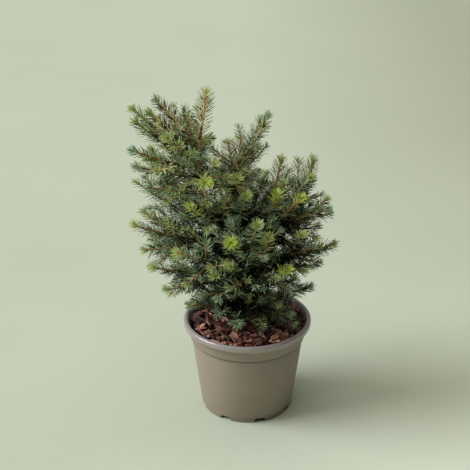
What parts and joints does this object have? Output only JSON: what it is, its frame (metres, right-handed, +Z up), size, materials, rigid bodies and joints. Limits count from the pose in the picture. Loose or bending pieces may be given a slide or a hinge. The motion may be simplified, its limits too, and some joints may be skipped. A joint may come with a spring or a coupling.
{
  "type": "potted serbian spruce",
  "caption": "Young dwarf spruce with dense upswept shoots on a short leaning trunk, growing in a tapered nursery pot topped with bark mulch.",
  "frame": {"origin": "centre of the pot's flat underside", "axes": "+Z up the plant, -Y towards the front that the picture shows, +X to the right"},
  "size_m": [0.311, 0.2846, 0.5052],
  "materials": {
    "pot": "satin taupe",
    "substrate": "matt dark peat",
    "mulch": "matt red-brown bark",
    "bark": "matt orange-brown bark",
    "needles": "satin blue-green"
  },
  "bodies": {
    "root": {"pot": "pot", "root_ball": "substrate", "bark_mulch": "mulch", "trunk": "bark", "bough_second_leader": "bark", "bough_right": "bark", "bough_right_back": "bark", "bough_right_low": "bark", "bough_front_right": "bark", "bough_front": "bark", "bough_left": "bark", "bough_left_low": "bark", "bough_back_left": "bark", "bough_back": "bark", "mass_leader": "needles", "mass_upper_left_high": "needles", "mass_upper_left_mid": "needles", "mass_far_left": "needles", "mass_upper_left_low": "needles", "mass_upper_front_left": "needles", "mass_left_high": "needles", "mass_left_shelf": "needles", "mass_left_mid": "needles", "mass_upper_front": "needles", "mass_upper_back": "needles", "mass_left": "needles", "mass_left_fork": "needles", "mass_left_low": "needles", "mass_left_skirt": "needles", "mass_skirt_left": "needles", "mass_skirt_front": "needles", "mass_skirt_right": "needles", "mass_skirt_far_right": "needles", "mass_right_low": "needles", "mass_right_mid": "needles", "mass_right_front": "needles", "mass_front_right_low": "needles", "mass_front_right": "needles", "mass_front_right_high": "needles", "mass_front": "needles", "mass_front_mid": "needles", "mass_front_low": "needles", "mass_front_high": "needles", "mass_front_left": "needles", "mass_front_left_low": "needles", "mass_front_top": "needles", "mass_crown_right": "needles", "mass_crown_back": "needles", "mass_crown_front": "needles", "mass_right_top": "needles", "mass_right_shoulder": "needles", "mass_right_shoulder_front": "needles", "mass_right_back_top": "needles", "mass_right_back_low": "needles", "mass_back_left_high": "needles", "mass_back_left": "needles", "mass_back_high": "needles", "mass_back": "needles", "mass_back_right": "needles", "mass_back_skirt": "needles"}
  },
  "joints": []
}
